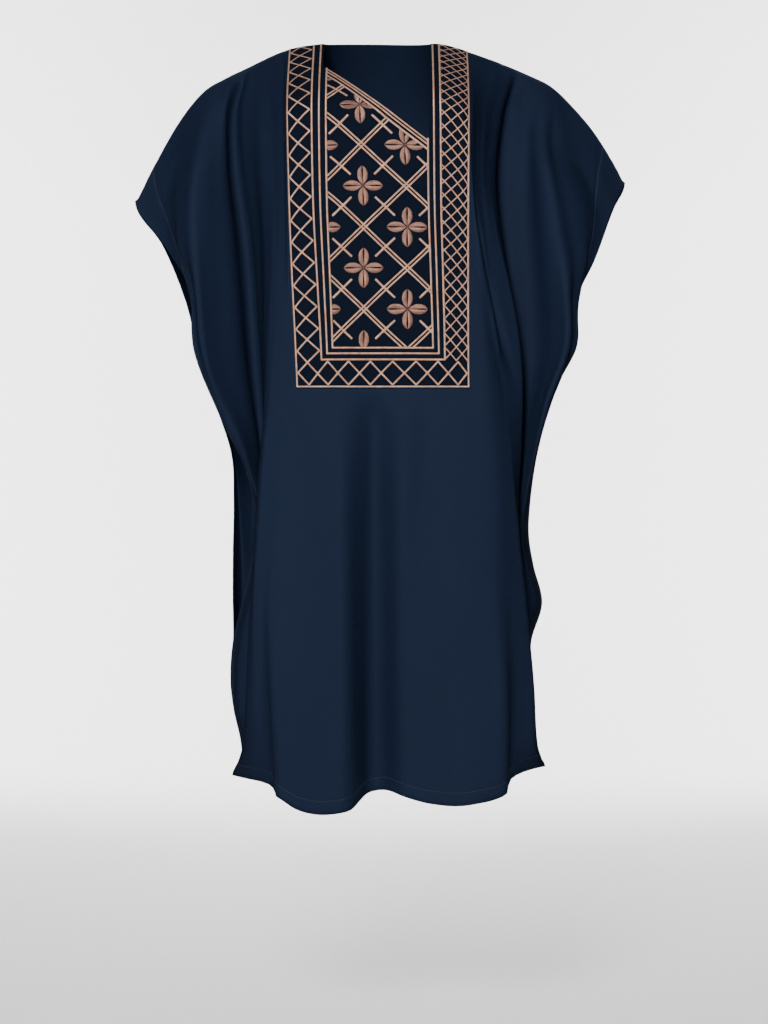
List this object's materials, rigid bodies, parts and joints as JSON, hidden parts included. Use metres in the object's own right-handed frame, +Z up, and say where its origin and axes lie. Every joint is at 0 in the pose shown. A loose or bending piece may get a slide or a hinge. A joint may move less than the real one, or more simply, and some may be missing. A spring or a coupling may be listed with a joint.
{
  "type": "agbada robe",
  "caption": "Wide open-sided over-robe in its worn hollow form, with winged shoulders, side seams sewn only low down, a slanting neck opening and an embroidered chest panel.",
  "frame": {"origin": "midway between the two shoulder seams, at the height of their neck ends, where a wearer carries the robe", "axes": "+Z up, -Y the way the front faces, +X towards the wearer's left"},
  "size_m": [0.74, 0.2784, 1.1562],
  "materials": {
    "robe_cloth": "smooth navy suiting with a soft sheen",
    "plastron_cloth": "navy ground with copper-coloured satin-stitch embroidery"
  },
  "bodies": {
    "root": {"front_panel": "robe_cloth", "back_panel": "robe_cloth", "embroidered_plastron": "plastron_cloth"}
  },
  "joints": []
}
